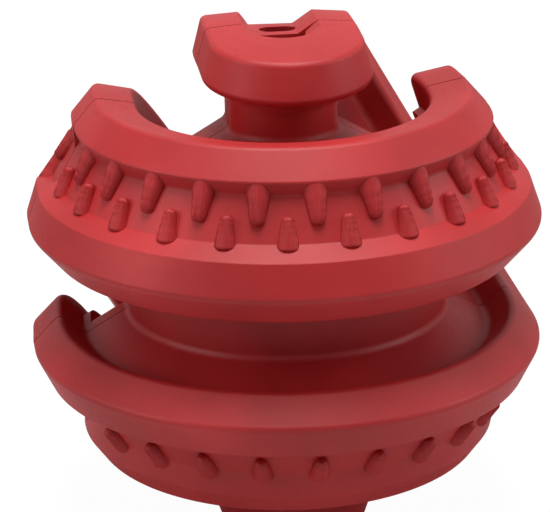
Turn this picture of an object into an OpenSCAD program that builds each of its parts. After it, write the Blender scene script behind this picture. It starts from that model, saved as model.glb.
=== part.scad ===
/* [Ball] */
// Distance from the centre to the crest of the rims beside the crowned channels
rim_r = 50; // [46:0.5:60]
// Drop of the level rims' crests below those of the crowned rims
level_drop = 0.8; // [0.4:0.1:1.4]
// Drop of a rim's outer corner below the highest crest
corner_drop = 1.3; // [1:0.1:2.4]
// Depth of a rim from its outer corner to its lower corner
rim_depth = 7.6; // [6:0.1:9]
// Drop of a rim's underside from its lower corner to the stem
under_drop = 1.8; // [1:0.1:3]
// Depth of a deep groove below the rims' undersides, at its flat bottom
groove_depth = 8.7; // [7:0.1:10]
// Gap between the two halves at the seam
seam_gap = 0.3; // [0.1:0.02:0.4]
// Straight run of every rim, stem and groove beside the seam
seam_run = 2; // [1:0.1:3]

/* [Stems and rims] */
// Half width of a stem
stem_w = 10.2; // [8.5:0.1:11]
// Half width of the channel mouth between the level rims
level_mouth_w = 7.1; // [6.6:0.1:8]
// Half width over the outer corners of a level pair
level_corner_w = 14.2; // [13:0.1:15.4]
// Half width over the lower corners of a level pair
level_skirt_w = 16.3; // [15.5:0.1:17]
// Half width of the channel mouth between the crowned rims
crowned_mouth_w = 7.2; // [6.6:0.1:8]
// Half width over the outer corners of a crowned pair
crowned_corner_w = 13.9; // [13:0.1:15.2]
// Half width over the lower corners of a crowned pair
crowned_skirt_w = 16.6; // [15.5:0.1:17]
// Distance of the front half's lowest rim from its stem's middle, at its crest
lowest_mouth_w = 5.4; // [4.8:0.1:7]
// The same at its outer corner
lowest_corner_w = 10.6; // [9.5:0.1:14]
// The same at its lower corner
lowest_skirt_w = 13; // [12:0.1:16]
// Depth of the channel between two rims
channel_depth = 2.5; // [2:0.1:3]
// Run of a channel's steep upper wall from its foot to the crest
upper_slope_w = 1.7; // [1.2:0.1:2.4]
// Run of a channel's gentle lower wall from its foot to the crest
lower_slope_w = 3.8; // [3:0.1:4.4]

/* [Pole caps] */
// Length that a pole cap runs away from the seam before it turns round
cap_run = 7.7; // [6:0.1:9]
// Run of the wall of a cap's recess from its foot to the crest
recess_slope_w = 3; // [2:0.1:4]
// Flare of the neck where it meets the cap
neck_flare_w = 3.6; // [2:0.1:5]

/* [Rounding] */
// Radius of the outer corner of a rim
corner_round = 1.3; // [0.6:0.1:1.8]
// Radius of the lower corner of a rim
skirt_round = 1.3; // [0.6:0.1:1.8]
// Radius of the crest beside the channel
crest_round = 0.5; // [0.3:0.1:0.8]
// Radius at the foot of a channel wall
channel_round = 0.8; // [0.4:0.1:1.2]
// Radius where a stem meets the underside of its rim
under_round = 1.6; // [0.8:0.1:2.4]
// Radius where a stem meets the bottom of the groove
root_round = 1.8; // [0.8:0.1:2.6]

/* [Studs] */
// Studs along a full turn of one channel wall
studs_per_turn = 24; // [12:2:30]
// Radius at the root of the studs that rise from a lower wall
rising_root_r = 2.1; // [1.6:0.05:2.4]
// Radius of those studs at the tip
rising_tip_r = 0.8; // [0.6:0.05:1.1]
// Distance of their roots' middles from the crest, across the channel
rising_root_in = 3.3; // [2.6:0.1:3.8]
// Distance of their tips from the crest, across the channel
rising_tip_in = 8.7; // [7:0.1:10]
// Depth of their outer sides below the crest, at the root
rising_root_sink = 0.9; // [0.6:0.1:1.4]
// Depth of their outer sides below the crest, at the tip
rising_tip_sink = 0.6; // [0.4:0.1:1.1]
// Radius at the root of the studs that hang from the upper wall
hanging_root_r = 2.2; // [1.6:0.05:2.6]
// Radius of those studs at the tip
hanging_tip_r = 0.95; // [0.6:0.05:1.2]
// Distance of their roots' middles from the crest, across the channel
hanging_root_in = 0.9; // [0.4:0.1:1.4]
// Distance of their tips from the crest, across the channel
hanging_tip_in = 7.3; // [5:0.1:9]
// Depth of their outer sides below the crest, at the root
hanging_root_sink = 0.3; // [0.2:0.1:1]
// Depth of their outer sides below the crest, at the tip
hanging_tip_sink = 1.2; // [0.9:0.1:1.4]
// Length that a hanging stud is carried back into the rim behind its root
hanging_behind = 1.2; // [0.9:0.1:1.6]
// The same for a rising stud
rising_behind = 0.4; // [0.2:0.1:0.6]
// Widest angle from the middle that carries a stud, in the upper channel
upper_stud_span = 83; // [60:1:84]
// Widest angle from the middle that carries a stud, in the lower channel
lower_stud_span = 61; // [40:1:70]

/* [Treat holes and chamber] */
// Thickness of the rubber between the round treat chamber and a groove's bottom
chamber_wall = 6.6; // [5.6:0.1:9]
// Radius of the half-round notch in a pole, which makes half a treat hole
notch_r = 4.7; // [3.5:0.1:4.9]
// Width of the oval treat hole
oval_w = 7; // [5:0.1:7.4]
// Length of the oval treat hole, away from the seam
oval_l = 4.4; // [4:0.1:6]
// Distance of the oval treat hole's centre from the seam plane
oval_y = 4.6; // [3.8:0.1:6]

/* [Axle] */
// Radius of a post's foot and of the seat it is bonded in
foot_r = 9; // [8:0.1:10]
// Thickness of the rubber between a groove's bottom and the post's seat
seat_wall = 3.6; // [3:0.1:5]
// Thickness of a post's foot
foot_t = 4; // [3:0.1:5]
// Radius of a post
post_r = 6.5; // [5.5:0.1:8]
// Radius of the pin
pin_r = 3.6; // [3:0.1:4]
// Chamfer at the end of the pin
pin_chamfer = 0.6; // [0.3:0.1:1]
// Radial clearance of the pin in the socket
pin_clearance = 0.06; // [0.03:0.01:0.1]
// Free depth of the socket behind the pin
socket_free = 1; // [0.5:0.1:2]
// Thickness of the socket post behind its bore
socket_floor = 8; // [6:0.1:10]
// Distance of the snap ring's middle from the end of the pin
snap_end = 6; // [4:0.1:8]
// Width of the snap ring along the axis
snap_w = 1.2; // [0.8:0.1:1.6]
// Depth of the groove that the snap ring sits in
snap_seat = 0.7; // [0.4:0.1:1]
// Height of the snap ring above the pin
snap_h = 0.8; // [0.4:0.1:1]
// Clearance of the snap ring in the socket's groove
snap_clearance = 0.12; // [0.05:0.01:0.2]
// Gap angle of the split in the snap ring
snap_split = 40; // [20:5:60]

/* [Hidden] */
$fn = 96;
red = "#b8383c";
charcoal = "#3a3d42";
steel = "#9aa0a6";
over = rim_r;
half_gap = seam_gap / 2;
corner_r = rim_r - corner_drop;
skirt_r = corner_r - rim_depth;
under_r = skirt_r - under_drop;
core_r = under_r - groove_depth;
chamber_r = core_r - chamber_wall;
seat_y = core_r - seat_wall;
pin_l = seat_y - socket_floor - socket_free;
snap_y = pin_l - snap_end;
// Where a stem's side meets the bottom of the groove, along the stem
root_r = (core_r - stem_w * sin(30)) / cos(30);
// Height inside a cap that the neck's flare is carried up to
neck_top_r = (corner_r + skirt_r) / 2;
// Overlap of the neck's flare with the cap's underside
neck_sink = under_round / 32;
arc_steps = 4;
stud_pitch = 360 / studs_per_turn;
// Turn of the back half in the seam plane
half_turn_angle = -120;

// A rim's sizes: distance of its crest, outer corner and lower corner from the middle, and the crest's height
level = [level_mouth_w, level_corner_w, level_skirt_w, rim_r - level_drop];
crowned = [crowned_mouth_w, crowned_corner_w, crowned_skirt_w, rim_r];
lowest = [lowest_mouth_w, lowest_corner_w, lowest_skirt_w, rim_r - level_drop];

// A row of studs: root and tip radius, then root and tip distance from the crest, then root and tip depth,
// then the length behind the root
rising = [
    rising_root_r, rising_tip_r, rising_root_in, rising_tip_in, rising_root_sink, rising_tip_sink,
    rising_behind
];
hanging = [
    hanging_root_r, hanging_tip_r, hanging_root_in, hanging_tip_in, hanging_root_sink, hanging_tip_sink,
    hanging_behind
];

// A point given across and along a stem that leans by angle a, as [radius, height]
function lean(a, across, along) = [
    along * sin(a) + across * cos(a),
    along * cos(a) - across * sin(a)
];

// One side of a pair of rims from the channel floor down to the groove: [across, along, rounding]
function side(w, slope_w) = [
    [w[0] - slope_w, w[3] - channel_depth, channel_round],
    [w[0], w[3], crest_round],
    [w[1], corner_r, corner_round],
    [w[2], skirt_r, skirt_round],
    [stem_w, under_r, under_round],
    [stem_w, root_r, root_round]
];

// Side of the neck under a pole cap, from inside the cap and along the cap's underside
function neck(w) = [
    [0, neck_top_r, 0],
    [stem_w + neck_flare_w, neck_top_r, 0],
    [stem_w + neck_flare_w, under_r + neck_flare_w * under_drop / (w[2] - stem_w) + neck_sink, 0],
    [stem_w, under_r + neck_sink, under_round],
    [stem_w, root_r, root_round]
];

function flip(list) = [for (i = [len(list) - 1:-1:0]) [-list[i][0], list[i][1], list[i][2]]];

// Points of a side, leaned into place, each still with its rounding
function placed(a, list) = [for (p = list) concat(lean(a, p[0], p[1]), [p[2]])];

// Both rims of a pair that leans by angle a, the upper one first
function pair(a, upper, lower) = placed(a, concat(
    flip(side(upper, upper_slope_w)),
    side(lower, lower_slope_w)
));

// Whole outline of a turned half, from the top of the axis to the bottom, with the given lowest rim
function outline(bottom_rim) = concat(
    neck(level),
    pair(60, crowned, crowned),
    pair(120, level, bottom_rim),
    [for (p = flip(neck(crowned))) [-p[0], -p[1], p[2]]]
);

function unit(v) = v / norm(v);

// Arc of a rounded corner between its two neighbours, or the corner itself
function corner_arc(a, b, c, r) =
    let (
        u = unit(a - b),
        v = unit(c - b),
        half = acos(max(-1, min(1, u * v))) / 2,
        room = min(norm(a - b), norm(c - b)) / 2,
        reach = min(r / tan(half), room),
        rr = reach * tan(half),
        middle = b + unit(u + v) * rr / sin(half),
        from = b + u * reach - middle,
        to = b + v * reach - middle,
        turn = acos(max(-1, min(1, unit(from) * unit(to)))),
        way = from[0] * to[1] - from[1] * to[0] > 0 ? 1 : -1
    )
    [for (i = [0:arc_steps])
        let (t = way * turn * i / arc_steps)
        middle + [from[0] * cos(t) - from[1] * sin(t), from[0] * sin(t) + from[1] * cos(t)]
    ];

// Polygon with every corner rounded by its own radius
function rounded(list) = [
    for (i = [0:len(list) - 1])
        let (
            n = len(list),
            p = list[(i + n - 1) % n],
            q = list[i],
            s = list[(i + 1) % n]
        )
        each q[2] > 0
            ? corner_arc([p[0], p[1]], [q[0], q[1]], [s[0], s[1]], q[2])
            : [[q[0], q[1]]]
];

// Outer section of a pole cap, from the axis out and down to the stem
function cap_outline(w) = concat(
    [[0, under_r - under_round, 0], [0, w[3], 0], [w[0], w[3], 0]],
    [[w[1], corner_r, corner_round], [w[2], skirt_r, skirt_round], [stem_w, under_r, 0]],
    [[stem_w, under_r - under_round, 0]]
);

// Outline of the recess in a pole cap
function recess_outline(w) = [
    [0, w[3] - channel_depth],
    [w[0] - recess_slope_w, w[3] - channel_depth],
    [w[0], w[3]],
    [w[0], w[3] + channel_depth],
    [0, w[3] + channel_depth]
];

// Turns an outline, given as radius and height, through the half that lies in front of the seam
module turn_front() {
    rotate([0, 0, 180])
        rotate_extrude(angle = 180)
            children();
}

// An outline carried straight from the seam for a run, then turned through half a turn
module run_and_turn(run, profile) {
    translate([0, -run, 0])
        turn_front()
            polygon(profile);
    for (s = [0, 1])
        mirror([s, 0, 0])
            rotate([90, 0, 0])
                linear_extrude(run)
                    polygon(profile);
}

// Pole cap with its recess
module cap(w) {
    difference() {
        run_and_turn(cap_run, rounded(cap_outline(w)));
        run_and_turn(seam_run, recess_outline(w));
    }
}

// Oval treat hole that runs from a channel floor down to the chamber
module oval_hole() {
    rounding = oval_l / 2;
    reach = oval_w / 2 - rounding;
    translate([0, -oval_y, 0]) {
        for (x = [-reach, reach])
            translate([x, 0, 0])
                cylinder(h = over, r = rounding);
        translate([-reach, -rounding, 0])
            cube([2 * reach, oval_l, over]);
    }
}

// One tapered stud with a rounded tip, whose root is on the plane z = 0
module stud(root_r, tip_r, height, behind) {
    cone_h = height - tip_r;
    rotate_extrude()
        polygon(concat(
            [[0, -behind], [root_r, -behind], [root_r, 0]],
            [for (i = [0:3]) [tip_r * cos(30 * i), cone_h + tip_r * sin(30 * i)]]
        ));
}

// Row of studs on one wall of a channel. wall says which, start is the first angle from the middle
module stud_row(a, w, wall, s, start, span) {
    root = lean(a, wall * (w[0] - s[2]), w[3] - s[4] - s[0]);
    tip = lean(a, wall * (w[0] - s[3]), w[3] - s[5] - s[1]);
    way = tip - root;
    count = floor((span - start) / stud_pitch);
    for (i = [-count - (start > 0 ? 1 : 0):count])
        rotate([0, 0, i * stud_pitch + start])
            translate([0, -root[0], root[1]])
                rotate([atan2(way[0], way[1]), 0, 0])
                    rotate([0, 0, wall * 90])
                        stud(s[0], s[1], norm(way), s[6]);
}

// All studs of one half, whose lowest rim is given
module studs(bottom_rim) {
    half_pitch = stud_pitch / 2;
    stud_row(60, crowned, -1, hanging, 0, upper_stud_span);
    stud_row(60, crowned, 1, rising, half_pitch, upper_stud_span);
    stud_row(120, bottom_rim, 1, rising, half_pitch, lower_stud_span);
}

// Everything that is hollow in a half: the chamber, the post's seat and the treat holes
module half_hollow() {
    sphere(r = chamber_r);
    rotate([90, 0, 0])
        cylinder(h = seat_y, r = foot_r);
    cylinder(h = over * 2, r = notch_r, center = true);
    rotate([0, half_turn_angle, 0])
        oval_hole();
}

// One moulded half, in front of the seam plane
module half_shell(bottom_rim) {
    difference() {
        union() {
            run_and_turn(seam_run, rounded(outline(bottom_rim)));
            cap(level);
            mirror([0, 0, 1])
                cap(crowned);
            translate([0, -seam_run, 0])
                studs(bottom_rim);
        }
        half_hollow();
        translate([-over * 2, -half_gap, -over * 2])
            cube([over * 4, over * 4, over * 4]);
    }
}

// Puts a piece of the back half in its place
module to_back() {
    rotate([0, half_turn_angle, 0])
        rotate([0, 0, 180])
            children();
}

module front_shell() {
    color(red)
        half_shell(lowest);
}

module back_shell() {
    color(red)
        to_back()
            half_shell(level);
}

// Turns an outline, given as radius and distance from the seam plane, about the axle
module about_axle() {
    rotate([90, 0, 0])
        rotate_extrude()
            children();
}

// Front half's post, with the bore that the pin turns in
module socket_post() {
    bore = pin_r + pin_clearance;
    groove = pin_r + snap_h + snap_clearance;
    groove_half = snap_w / 2 + snap_clearance;
    color(charcoal)
        about_axle()
            polygon([
                [0, seat_y],
                [foot_r, seat_y],
                [foot_r, seat_y - foot_t],
                [post_r, seat_y - foot_t],
                [post_r, half_gap],
                [bore, half_gap],
                [bore, snap_y - groove_half],
                [groove, snap_y - groove_half],
                [groove, snap_y + groove_half],
                [bore, snap_y + groove_half],
                [bore, pin_l + socket_free],
                [0, pin_l + socket_free]
            ]);
}

// Back half's post, which carries the pin
module pin_post() {
    color(charcoal)
        about_axle()
            polygon([
                [0, -seat_y],
                [foot_r, -seat_y],
                [foot_r, -seat_y + foot_t],
                [post_r, -seat_y + foot_t],
                [post_r, -half_gap],
                [pin_r, -half_gap],
                [pin_r, snap_y - snap_w / 2],
                [pin_r - snap_seat, snap_y - snap_w / 2],
                [pin_r - snap_seat, snap_y + snap_w / 2],
                [pin_r, snap_y + snap_w / 2],
                [pin_r, pin_l - pin_chamfer],
                [pin_r - pin_chamfer, pin_l],
                [0, pin_l]
            ]);
}

// Split ring that keeps the pin in its socket
module snap_ring() {
    color(steel)
        rotate([90, 0, 0])
            rotate([0, 0, 90 + snap_split / 2])
                rotate_extrude(angle = 360 - snap_split)
                    translate([pin_r - snap_seat, snap_y - snap_w / 2])
                        square([snap_seat + snap_h, snap_w]);
}

front_shell();
back_shell();
socket_post();
pin_post();
snap_ring();
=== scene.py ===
# Treat dispensing ball: two moulded rubber halves that twist on a hidden axle
import math
import bmesh
import bpy
from mathutils import Matrix, Vector


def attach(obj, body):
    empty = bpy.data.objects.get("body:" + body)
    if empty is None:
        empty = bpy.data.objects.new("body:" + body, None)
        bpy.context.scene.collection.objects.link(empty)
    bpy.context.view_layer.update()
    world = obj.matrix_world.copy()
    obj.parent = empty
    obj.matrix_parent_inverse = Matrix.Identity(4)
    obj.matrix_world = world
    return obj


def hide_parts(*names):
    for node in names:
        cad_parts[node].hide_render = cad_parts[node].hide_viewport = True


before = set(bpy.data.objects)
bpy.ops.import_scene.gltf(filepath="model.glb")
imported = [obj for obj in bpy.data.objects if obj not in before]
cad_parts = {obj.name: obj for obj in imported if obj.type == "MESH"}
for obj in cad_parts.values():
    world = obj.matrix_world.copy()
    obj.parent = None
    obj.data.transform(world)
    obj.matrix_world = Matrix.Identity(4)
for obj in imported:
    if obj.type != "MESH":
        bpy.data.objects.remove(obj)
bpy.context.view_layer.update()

mm = 0.001

def deselectAll():
    if bpy.context.object and bpy.context.object.mode != "OBJECT":
        bpy.ops.object.mode_set(mode="OBJECT")
    bpy.ops.object.select_all(action="DESELECT")


def makeActive(piece):
    deselectAll()
    piece.select_set(True)
    bpy.context.view_layer.objects.active = piece


def applyModifier(piece, kind, **settings):
    makeActive(piece)
    modifier = piece.modifiers.new(kind.title(), kind)
    for key, value in settings.items():
        setattr(modifier, key, value)
    bpy.ops.object.modifier_apply(modifier=modifier.name)


def joinPieces(pieces, name):
    deselectAll()
    for piece in pieces:
        piece.select_set(True)
    bpy.context.view_layer.objects.active = pieces[0]
    if len(pieces) > 1:
        bpy.ops.object.join()
    pieces[0].name = name
    return pieces[0]


def copyOf(piece, matrix):
    twin = piece.copy()
    twin.data = piece.data.copy()
    twin.data.transform(matrix)
    bpy.context.collection.objects.link(twin)
    return twin


def booleanWith(piece, other, operation):
    applyModifier(piece, "BOOLEAN", operation=operation, object=other, solver="MANIFOLD")
    bpy.data.objects.remove(other, do_unlink=True)


# Turns a closed piece's faces outwards: its volume tells which way they point
def faceOutwards(piece):
    shape = bmesh.new()
    shape.from_mesh(piece.data)
    inside = shape.calc_volume(signed=True) < 0
    shape.free()
    if inside:
        piece.data.flip_normals()


# Outline with each corner rounded by its own radius: a point is (radius, height, rounding), all in mm
def roundedChain(points, arcSteps=6):
    chain = [Vector(points[0][:2])]
    for before, here, after in zip(points, points[1:], points[2:]):
        corner = Vector(here[:2])
        if here[2] <= 0:
            chain.append(corner)
            continue
        toBefore = Vector(before[:2]) - corner
        toAfter = Vector(after[:2]) - corner
        half = toBefore.angle(toAfter) / 2
        reach = min(here[2] / math.tan(half), toBefore.length / 2, toAfter.length / 2)
        radius = reach * math.tan(half)
        inward = (toBefore.normalized() + toAfter.normalized()).normalized()
        middle = corner + inward * radius / math.sin(half)
        start = corner + toBefore.normalized() * reach - middle
        end = corner + toAfter.normalized() * reach - middle
        turn = start.angle_signed(end)
        for step in range(arcSteps + 1):
            angle = -turn * step / arcSteps
            chain.append(middle + Vector((
                start.x * math.cos(angle) - start.y * math.sin(angle),
                start.x * math.sin(angle) + start.y * math.cos(angle))))
    chain.append(Vector(points[-1][:2]))
    return chain


# Draws the open edges of a half-turned skin out to a new place, given vertex by vertex
def drawOpenEdges(piece, newPlace):
    bpy.ops.object.mode_set(mode="EDIT")
    bpy.ops.mesh.select_all(action="DESELECT")
    bpy.ops.mesh.select_non_manifold(extend=False)
    bpy.ops.mesh.extrude_edges_indiv()
    bpy.ops.object.mode_set(mode="OBJECT")
    for vertex in piece.data.vertices:
        if vertex.select:
            vertex.co = newPlace(vertex.co)


# A chain of (radius, height) turned half a turn about the upright axis, with a straight run up to the seam.
# A sloped one is tipped about a level line, and stands square between that line and the seam
def turnedHalf(name, chain, run, behind, steps, slope=None):
    deselectAll()
    bpy.ops.mesh.primitive_circle_add(vertices=len(chain), radius=10 * mm)
    piece = bpy.context.object
    piece.name = name
    for vertex, point in zip(piece.data.vertices, chain):
        vertex.co = (point[0] * mm, -run * mm, point[1] * mm)
    last = len(chain) - 1
    for edge in piece.data.edges:
        edge.select = set(edge.vertices) == {0, last}
    for vertex in piece.data.vertices:
        vertex.select = False
    bpy.ops.object.mode_set(mode="EDIT")
    bpy.ops.mesh.select_mode(type="EDGE")
    bpy.ops.mesh.delete(type="EDGE")  # the side on the axis stays open
    bpy.ops.mesh.select_all(action="SELECT")
    bpy.ops.mesh.spin(steps=steps, angle=math.pi, center=(0, -run * mm, 0), axis=(0, 0, 1))
    bpy.ops.mesh.select_all(action="SELECT")
    bpy.ops.mesh.remove_doubles(threshold=0.002 * mm)
    bpy.ops.object.mode_set(mode="OBJECT")
    if slope:
        start, height = -slope["start"] * mm, slope["height"] * mm
        tip = Matrix.Rotation(math.radians(slope["tilt"]), 4, "X")
        pivot = Matrix.Translation((0, start, height))
        piece.data.transform(pivot @ tip @ pivot.inverted())
        rise = math.tan(math.radians(slope["tilt"]))
        drawOpenEdges(piece, lambda co: (co.x, start, co.z + (start - co.y) * rise))
    drawOpenEdges(piece, lambda co: (co.x, behind * mm, co.z))
    bpy.ops.object.mode_set(mode="EDIT")
    bpy.ops.mesh.edge_face_add()
    bpy.ops.mesh.select_all(action="SELECT")
    bpy.ops.mesh.normals_make_consistent(inside=False)
    bpy.ops.object.mode_set(mode="OBJECT")
    faceOutwards(piece)
    return piece


# The half ball's shape in mm and degrees, as in the CAD source but for the tilt of its caps
halfBall = {
    "corner": 48.7, "skirt": 41.1, "under": 39.3, "core": 30.6, "stem": 10.2,
    # a rim: its crest, outer corner and lower corner across from the stem's middle, then the crest's height
    "level": (7.1, 14.2, 16.3, 49.2), "crowned": (7.2, 13.9, 16.6, 50.0), "lowest": (5.4, 10.6, 13.0, 49.2),
    "channelDepth": 2.5, "upperSlope": 1.7, "lowerSlope": 3.8, "recessSlope": 3.0,
    "cornerRound": 1.3, "skirtRound": 1.3, "crestRound": 0.5, "channelRound": 0.8,
    "underRound": 1.6, "rootRound": 1.8,
    "seamRun": 2.0, "halfGap": 0.15, "steps": 96,
    "capRun": 7.7, "capSteps": 64, "capTilt": 4.0, "capBehind": 3.0, "neckFlare": 3.6, "neckSink": 0.05,
    "brim": (2.0, 0.02), "upperPair": 60, "lowerPair": 120, "backTurn": -120,
}
studs = {
    "pitch": 15.0,
    # root and tip radius, root and tip distance from the crest, root and tip depth below it, length behind
    "rising": (2.1, 0.8, 3.3, 8.7, 0.9, 0.6, 0.4),
    "hanging": (2.2, 0.95, 0.9, 7.3, 0.3, 1.2, 1.2),
    "upperSpan": 83.0, "frontLowerSpan": 61.0, "backLowerSpan": 50.0,
    "sides": 32, "tipBevel": 0.85, "bevelSteps": 4,
}
hollow = {
    "chamber": 24.0, "seatRadius": 9.0, "seatDepth": 27.0, "mouth": 4.7, "mouthLength": 110,
    "ovalWidth": 7.0, "ovalLength": 4.4, "ovalPlace": 4.6, "ovalReach": 50, "sides": 64, "ovalSides": 48,
}


# A place across and along a stem that leans by an angle from the upright, as (radius, height)
def leaned(angle, across, along):
    sine, cosine = math.sin(math.radians(angle)), math.cos(math.radians(angle))
    return (along * sine + across * cosine, along * cosine - across * sine)


# How far up a stem its root with the core lies, with the stems 60 degrees apart
def stemRoot():
    return (halfBall["core"] - halfBall["stem"] * 0.5) / math.cos(math.radians(30))


# One side of a stem and its rim, from the channel's floor to the root: (across, along, rounding)
def rimSide(rim, slope):
    b = halfBall
    return [
        (rim[0] - slope, rim[3] - b["channelDepth"], b["channelRound"]),
        (rim[0], rim[3], b["crestRound"]),
        (rim[1], b["corner"], b["cornerRound"]),
        (rim[2], b["skirt"], b["skirtRound"]),
        (b["stem"], b["under"], b["underRound"]),
        (b["stem"], stemRoot(), b["rootRound"]),
    ]


# Both rims of a pair that leans by an angle, the upper one first
def rimPair(angle, upper, lower):
    b = halfBall
    upperSide = [(-p[0], p[1], p[2]) for p in reversed(rimSide(upper, b["upperSlope"]))]
    return [leaned(angle, p[0], p[1]) + (p[2],) for p in upperSide + rimSide(lower, b["lowerSlope"])]


# Neck under a pole cap: it starts inside the cap, on the cap's underside
def neckPoints(rim):
    b = halfBall
    slope = (b["skirt"] - b["under"]) / (rim[2] - b["stem"])
    out, inside = b["stem"] + b["neckFlare"], (b["corner"] + b["skirt"]) / 2
    under = b["under"] + b["neckSink"]
    return [(0, inside, 0), (out, inside, 0), (out, under + b["neckFlare"] * slope, 0),
            (b["stem"], under, b["underRound"]), (b["stem"], stemRoot(), b["rootRound"])]


# The turned body's whole outline, from the upper pole to the lower one
def bodyChain(bottomRim):
    level, crowned = halfBall["level"], halfBall["crowned"]
    points = neckPoints(level) + rimPair(halfBall["upperPair"], crowned, crowned)
    points += rimPair(halfBall["lowerPair"], level, bottomRim)
    points += [(p[0], -p[1], p[2]) for p in reversed(neckPoints(crowned))]
    return roundedChain(points)


# A pole cap from the axis out and down to the stem
def capChain(rim):
    b = halfBall
    foot = b["under"] - b["underRound"]
    return roundedChain([
        (0, rim[3], 0), (rim[0], rim[3], b["crestRound"]), (rim[1], b["corner"], b["cornerRound"]),
        (rim[2], b["skirt"], b["skirtRound"]), (b["stem"], b["under"], 0),
        (b["stem"], foot, 0), (0, foot, 0)])


# What is cut out of the top of a pole cap
def recessChain(rim):
    b = halfBall
    bottom, clear = rim[3] - b["channelDepth"], rim[3] + b["channelDepth"]
    lip = (rim[0] + b["brim"][0], rim[3] + b["brim"][1])  # the cutter's brim rounds the recess's edge
    return roundedChain([
        (0, bottom, 0), (rim[0] - b["recessSlope"], bottom, b["channelRound"]),
        (rim[0], rim[3], b["crestRound"]), lip + (0,), (lip[0], clear, 0), (0, clear, 0)])


# A cap, or its recess, turned on its own run and tipped, over the upper pole or the lower one
def poleCap(name, chain, run, upside):
    b = halfBall
    slope = {"start": b["seamRun"], "height": (b["corner"] + b["skirt"]) / 2, "tilt": b["capTilt"]}
    piece = turnedHalf(name, chain, run, b["capBehind"], b["capSteps"], slope)
    if upside:
        piece.data.transform(Matrix.Scale(-1, 4, (0, 0, 1)))
        faceOutwards(piece)  # the mirrored cap comes out inside out
    return piece


# One stud: a cone with its tip bevelled round, whose root is at the origin and which runs up
def studMesh(rootRadius, tipRadius, height, behind):
    deselectAll()
    slimming = (rootRadius - tipRadius) / height
    bpy.ops.mesh.primitive_cone_add(
        vertices=studs["sides"], radius1=(rootRadius + slimming * behind) * mm, radius2=tipRadius * mm,
        depth=(height + behind) * mm, location=(0, 0, (height - behind) * mm / 2))
    piece = bpy.context.object
    bpy.ops.object.transform_apply()
    nearTip = (height - 0.01) * mm
    for edge in piece.data.edges:
        edge.select = all(piece.data.vertices[i].co.z > nearTip for i in edge.vertices)
    bpy.ops.object.mode_set(mode="EDIT")
    bpy.ops.mesh.select_mode(type="EDGE")
    bpy.ops.mesh.bevel(offset=tipRadius * studs["tipBevel"] * mm, segments=studs["bevelSteps"],
                       offset_type="OFFSET")
    bpy.ops.object.mode_set(mode="OBJECT")
    return piece


# Studs round a half on one wall of a channel: the first stands at an angle from the middle
def studRow(angle, rim, wall, size, first, span):
    rootRadius, tipRadius, rootIn, tipIn, rootSink, tipSink, behind = size
    root = Vector(leaned(angle, wall * (rim[0] - rootIn), rim[3] - rootSink - rootRadius))
    tip = Vector(leaned(angle, wall * (rim[0] - tipIn), rim[3] - tipSink - tipRadius))
    way = tip - root
    model = studMesh(rootRadius, tipRadius, way.length, behind)
    lean = Matrix.Rotation(math.atan2(way.x, way.y), 4, "X")
    place = Matrix.Translation((0, -root.x * mm, root.y * mm)) @ lean
    shift = Matrix.Translation((0, -halfBall["seamRun"] * mm, 0))
    row = []
    count = int((span - first) // studs["pitch"])
    for index in range(-count - (1 if first > 0 else 0), count + 1):
        around = Matrix.Rotation(math.radians(index * studs["pitch"] + first), 4, "Z")
        row.append(copyOf(model, shift @ around @ place))
    bpy.data.objects.remove(model, do_unlink=True)
    return row


# Oval treat hole, stretched from a round one, from a channel's floor down to the chamber
def ovalCutter():
    h = hollow
    deselectAll()
    bpy.ops.mesh.primitive_cylinder_add(vertices=h["ovalSides"], radius=h["ovalLength"] / 2 * mm,
                                        depth=h["ovalReach"] * mm, location=(0, 0, h["ovalReach"] / 2 * mm))
    piece = bpy.context.object
    bpy.ops.object.transform_apply()
    stretch = (h["ovalWidth"] - h["ovalLength"]) / 2 * mm
    for vertex in piece.data.vertices:
        vertex.co.x += math.copysign(stretch, vertex.co.x)
        vertex.co.y -= h["ovalPlace"] * mm
    piece.data.transform(Matrix.Rotation(math.radians(halfBall["backTurn"]), 4, "Y"))
    return piece


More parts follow.
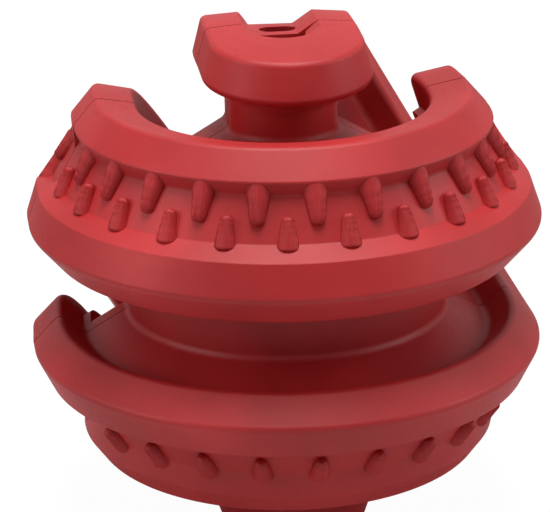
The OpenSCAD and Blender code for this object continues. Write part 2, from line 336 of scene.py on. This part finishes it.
# One moulding: the turned body with its caps, hollowed and cut at the seam, then its studs
def halfShell(name, bottomRim, lowerSpan):
    b, h = halfBall, hollow
    sides, beyond = h["sides"], 120 * mm
    level, crowned = b["level"], b["crowned"]
    shell = turnedHalf(name, bodyChain(bottomRim), b["seamRun"], 0, b["steps"])
    for rim, upside in ((level, False), (crowned, True)):
        cap = poleCap("cap", capChain(rim), b["capRun"], upside)
        booleanWith(cap, poleCap("recess", recessChain(rim), b["seamRun"], upside), "DIFFERENCE")
        booleanWith(shell, cap, "UNION")
    deselectAll()
    bpy.ops.mesh.primitive_uv_sphere_add(segments=sides, ring_count=sides // 2, radius=h["chamber"] * mm)
    booleanWith(shell, bpy.context.object, "DIFFERENCE")
    deselectAll()
    bpy.ops.mesh.primitive_cylinder_add(vertices=sides, radius=h["seatRadius"] * mm,
                                        depth=h["seatDepth"] * 2 * mm, rotation=(math.pi / 2, 0, 0))
    bpy.ops.object.transform_apply()
    booleanWith(shell, bpy.context.object, "DIFFERENCE")
    deselectAll()
    bpy.ops.mesh.primitive_cylinder_add(vertices=sides, radius=h["mouth"] * mm, depth=h["mouthLength"] * mm)
    booleanWith(shell, bpy.context.object, "DIFFERENCE")
    booleanWith(shell, ovalCutter(), "DIFFERENCE")
    deselectAll()
    bpy.ops.mesh.primitive_cube_add(size=beyond, location=(0, beyond / 2 - b["halfGap"] * mm, 0))
    bpy.ops.object.transform_apply()
    booleanWith(shell, bpy.context.object, "DIFFERENCE")
    row = studRow(b["upperPair"], crowned, -1, studs["hanging"], 0, studs["upperSpan"])
    row += studRow(b["upperPair"], crowned, 1, studs["rising"], studs["pitch"] / 2, studs["upperSpan"])
    row += studRow(b["lowerPair"], bottomRim, 1, studs["rising"], 0, lowerSpan)
    joinPieces([shell] + row, name)
    makeActive(shell)
    bpy.ops.object.shade_smooth_by_angle(angle=math.radians(30))
    applyModifier(shell, "WEIGHTED_NORMAL", keep_sharp=True, weight=60)
    return shell


# An sRGB hex colour as linear values
def hexColour(text):
    channels = [int(text[i:i + 2], 16) / 255 for i in (1, 3, 5)]
    return tuple(c / 12.92 if c <= 0.04045 else ((c + 0.055) / 1.055) ** 2.4 for c in channels) + (1,)


def addNode(tree, kind, settings=None, inputs=None, links=None):
    node = tree.nodes.new(kind)
    for key, value in (settings or {}).items():
        setattr(node, key, value)
    for key, value in (inputs or {}).items():
        node.inputs[key].default_value = value
    for key, source in (links or {}).items():
        tree.links.new(source, node.inputs[key])
    return node


def newMaterial(name):
    material = bpy.data.materials.new(name)
    material.use_nodes = True
    material.node_tree.nodes.clear()
    return material


def noiseOf(tree, place, size, detail):
    return addNode(tree, "ShaderNodeTexNoise", inputs={"Scale": 1 / (size * mm), "Detail": detail},
                   links={"Vector": place})


# Natural rubber blend from a vapour-blasted mould: an even satin red, a little paler in patches
def mouldedRubber():
    look = {"deep": "#A71A1D", "base": "#B52124", "pale": "#C32B2E", "patch": 22, "grain": 0.55,
            "smooth": 0.46, "dull": 0.58}
    material = newMaterial("mouldedRedRubber")
    tree = material.node_tree
    place = addNode(tree, "ShaderNodeTexCoord").outputs["Object"]
    patches = noiseOf(tree, place, look["patch"], 3.0)
    ramp = addNode(tree, "ShaderNodeValToRGB", links={"Fac": patches.outputs["Fac"]})
    ramp.color_ramp.elements[0].position = 0.3
    ramp.color_ramp.elements[0].color = hexColour(look["deep"])
    ramp.color_ramp.elements[1].position = 0.75
    ramp.color_ramp.elements[1].color = hexColour(look["pale"])
    middle = ramp.color_ramp.elements.new(0.5)
    middle.color = hexColour(look["base"])
    grain = noiseOf(tree, place, look["grain"], 2.0)
    rough = addNode(tree, "ShaderNodeMapRange", links={"Value": grain.outputs["Fac"]},
                    inputs={"From Min": 0.3, "From Max": 0.7,
                            "To Min": look["smooth"], "To Max": look["dull"]})
    bump = addNode(tree, "ShaderNodeBump", inputs={"Strength": 0.12, "Distance": 0.05 * mm},
                   links={"Height": grain.outputs["Fac"]})
    shader = addNode(tree, "ShaderNodeBsdfPrincipled", inputs={"Specular IOR Level": 0.45, "IOR": 1.52},
                     links={"Base Color": ramp.outputs["Color"], "Roughness": rough.outputs["Result"],
                            "Normal": bump.outputs["Normal"]})
    addNode(tree, "ShaderNodeOutputMaterial", links={"Surface": shader.outputs["BSDF"]})
    return material


# Glass-filled nylon, injection moulded: dull charcoal with a fine grain
def mouldedNylon():
    look = {"dark": "#34373B", "pale": "#43474C", "grain": 0.4, "dull": 0.55}
    material = newMaterial("charcoalNylon")
    tree = material.node_tree
    place = addNode(tree, "ShaderNodeTexCoord").outputs["Object"]
    grain = noiseOf(tree, place, look["grain"], 3.0)
    ramp = addNode(tree, "ShaderNodeValToRGB", links={"Fac": grain.outputs["Fac"]})
    ramp.color_ramp.elements[0].color = hexColour(look["dark"])
    ramp.color_ramp.elements[1].color = hexColour(look["pale"])
    bump = addNode(tree, "ShaderNodeBump", inputs={"Strength": 0.2, "Distance": 0.03 * mm},
                   links={"Height": grain.outputs["Fac"]})
    shader = addNode(tree, "ShaderNodeBsdfPrincipled", inputs={"Roughness": look["dull"], "IOR": 1.53},
                     links={"Base Color": ramp.outputs["Color"], "Normal": bump.outputs["Normal"]})
    addNode(tree, "ShaderNodeOutputMaterial", links={"Surface": shader.outputs["BSDF"]})
    return material


# Spring steel wire: drawn bright, with fine lines along it
def springSteel():
    look = {"steel": "#A9ADB2", "line": 0.5, "drawn": 12, "bright": 0.25, "worn": 0.45}
    material = newMaterial("brightSpringSteel")
    tree = material.node_tree
    place = addNode(tree, "ShaderNodeTexCoord").outputs["Object"]
    stretch = addNode(tree, "ShaderNodeMapping", inputs={"Scale": (1, look["drawn"], 1)},
                      links={"Vector": place})
    lines = noiseOf(tree, stretch.outputs["Vector"], look["line"], 2.0)
    rough = addNode(tree, "ShaderNodeMapRange", inputs={"To Min": look["bright"], "To Max": look["worn"]},
                    links={"Value": lines.outputs["Fac"]})
    shader = addNode(tree, "ShaderNodeBsdfPrincipled", links={"Roughness": rough.outputs["Result"]},
                     inputs={"Base Color": hexColour(look["steel"]), "Metallic": 1.0})
    addNode(tree, "ShaderNodeOutputMaterial", links={"Surface": shader.outputs["BSDF"]})
    return material


def giveMaterial(piece, material):
    piece.data.materials.clear()
    piece.data.materials.append(material)


print("materials")
rubber, nylon, steel = mouldedRubber(), mouldedNylon(), springSteel()
for name, material in (("socket_post", nylon), ("pin_post", nylon), ("snap_ring", steel)):
    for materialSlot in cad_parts[name].material_slots:
        materialSlot.material = material

print("front half")
frontSkin = halfShell("front_skin", halfBall["lowest"], studs["frontLowerSpan"])
giveMaterial(frontSkin, rubber)

print("back half")
backTurn = Matrix.Rotation(math.radians(halfBall["backTurn"]), 4, "Y") @ Matrix.Rotation(math.pi, 4, "Z")
backSkin = halfShell("back_skin", halfBall["level"], studs["backLowerSpan"])
backSkin.data.transform(backTurn)
giveMaterial(backSkin, rubber)

for piece, node, body in ((frontSkin, "front_shell", "front_half"), (backSkin, "back_shell", "back_half")):
    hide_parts(node)
    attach(piece, body)


# The photograph's view of the ball: angles in degrees, distance in mm, the rest in its pixels
view = {"turn": 8.1, "height": 20.3, "roll": -0.9, "distance": 523, "focal": 2700,
        "ballX": 284.3, "ballY": 268.0, "width": 550, "tall": 512}


def photoCamera():
    turn, height, roll = (math.radians(view[k]) for k in ("turn", "height", "roll"))
    away = Vector((-math.sin(turn) * math.cos(height), -math.cos(turn) * math.cos(height), math.sin(height)))
    right = (-away).cross(Vector((0, 0, 1))).normalized()
    up = right.cross(-away)
    rolledRight = right * math.cos(roll) + up * math.sin(roll)
    rolledUp = up * math.cos(roll) - right * math.sin(roll)
    bpy.ops.object.camera_add()
    camera = bpy.context.object
    turnMatrix = Matrix((rolledRight, rolledUp, away)).transposed().to_4x4()
    camera.matrix_world = Matrix.Translation(away * view["distance"] * mm) @ turnMatrix
    camera.data.sensor_width = 36
    camera.data.lens = 36 * view["focal"] / view["width"]
    camera.data.shift_x = -(view["ballX"] - view["width"] / 2) / view["width"]
    camera.data.shift_y = (view["ballY"] - view["tall"] / 2) / view["width"]
    camera.data.clip_start = 0.01
    bpy.context.scene.camera = camera


# Round soft lamps that face the ball: place and size in mm, power in watts, gloss from 0 to 1
lamps = {
    "topLamp": {"place": (0, -60, 620), "size": 420, "power": 3.9, "gloss": 0.4},
    "leftLamp": {"place": (-580, -160, 260), "size": 360, "power": 1.1, "gloss": 0.4},
    "rightLamp": {"place": (580, -160, 260), "size": 360, "power": 1.1, "gloss": 0.4},
    "lowLamp": {"place": (0, -640, -20), "size": 460, "power": 0.1, "gloss": 0.2},
}


def softLamp(name, place, size, power, gloss):
    deselectAll()
    bpy.ops.object.light_add(type="AREA", location=[v * mm for v in place])
    lamp = bpy.context.object
    lamp.name = name
    lamp.data.shape = "DISK"
    lamp.data.size = size * mm
    lamp.data.energy = power
    lamp.data.specular_factor = gloss
    lamp.rotation_euler = (-Vector(place)).to_track_quat("-Z", "Y").to_euler()


print("studio")
photoCamera()
for name, settings in lamps.items():
    softLamp(name, **settings)

deselectAll()
floorHeight = -halfBall["crowned"][3] * mm  # the ball stands on the crest of a rim
bpy.ops.mesh.primitive_plane_add(size=6, location=(0, 0, floorHeight))
floor = bpy.context.object
floor.name = "studioFloor"


# Matt card: pale grey to the light that it throws back, and all but white to the camera, with a soft shadow
def whiteCard():
    look = {"card": "#DBDADA", "seenShare": 0.86, "seen": 1.12}
    material = newMaterial("whiteCard")
    tree = material.node_tree
    card = addNode(tree, "ShaderNodeBsdfDiffuse", inputs={"Color": hexColour(look["card"])})
    glow = addNode(tree, "ShaderNodeEmission",
                   inputs={"Color": hexColour("#FFFFFF"), "Strength": look["seen"]})
    path = addNode(tree, "ShaderNodeLightPath")
    share = addNode(tree, "ShaderNodeMath", {"operation": "MULTIPLY"}, inputs={1: look["seenShare"]},
                    links={0: path.outputs["Is Camera Ray"]})
    mixed = addNode(tree, "ShaderNodeMixShader",
                    links={0: share.outputs["Value"], 1: card.outputs["BSDF"], 2: glow.outputs["Emission"]})
    addNode(tree, "ShaderNodeOutputMaterial", links={"Surface": mixed.outputs["Shader"]})
    return material


giveMaterial(floor, whiteCard())

world = bpy.context.scene.world or bpy.data.worlds.new("studioWorld")
bpy.context.scene.world = world
world.use_nodes = True
skyTree = world.node_tree
skyTree.nodes.clear()
# Weak fill light from a white surround, which the camera sees at full strength and the gloss nearly so
sky = {"colour": "#FFFFFF", "fill": 0.03, "seen": 1.0, "glossShare": 0.7}
skyColour = hexColour(sky["colour"])
fill = addNode(skyTree, "ShaderNodeBackground", inputs={"Color": skyColour, "Strength": sky["fill"]})
seen = addNode(skyTree, "ShaderNodeBackground", inputs={"Color": skyColour, "Strength": sky["seen"]})
path = addNode(skyTree, "ShaderNodeLightPath")
glossShare = addNode(skyTree, "ShaderNodeMath", {"operation": "MULTIPLY"}, inputs={1: sky["glossShare"]},
                     links={0: path.outputs["Is Glossy Ray"]})
share = addNode(skyTree, "ShaderNodeMath", {"operation": "MAXIMUM"},
                links={0: path.outputs["Is Camera Ray"], 1: glossShare.outputs["Value"]})
mixed = addNode(skyTree, "ShaderNodeMixShader", links={
    0: share.outputs["Value"], 1: fill.outputs["Background"], 2: seen.outputs["Background"]})
addNode(skyTree, "ShaderNodeOutputWorld", links={"Surface": mixed.outputs["Shader"]})
bpy.context.scene.view_settings.view_transform = "Standard"

print("done")
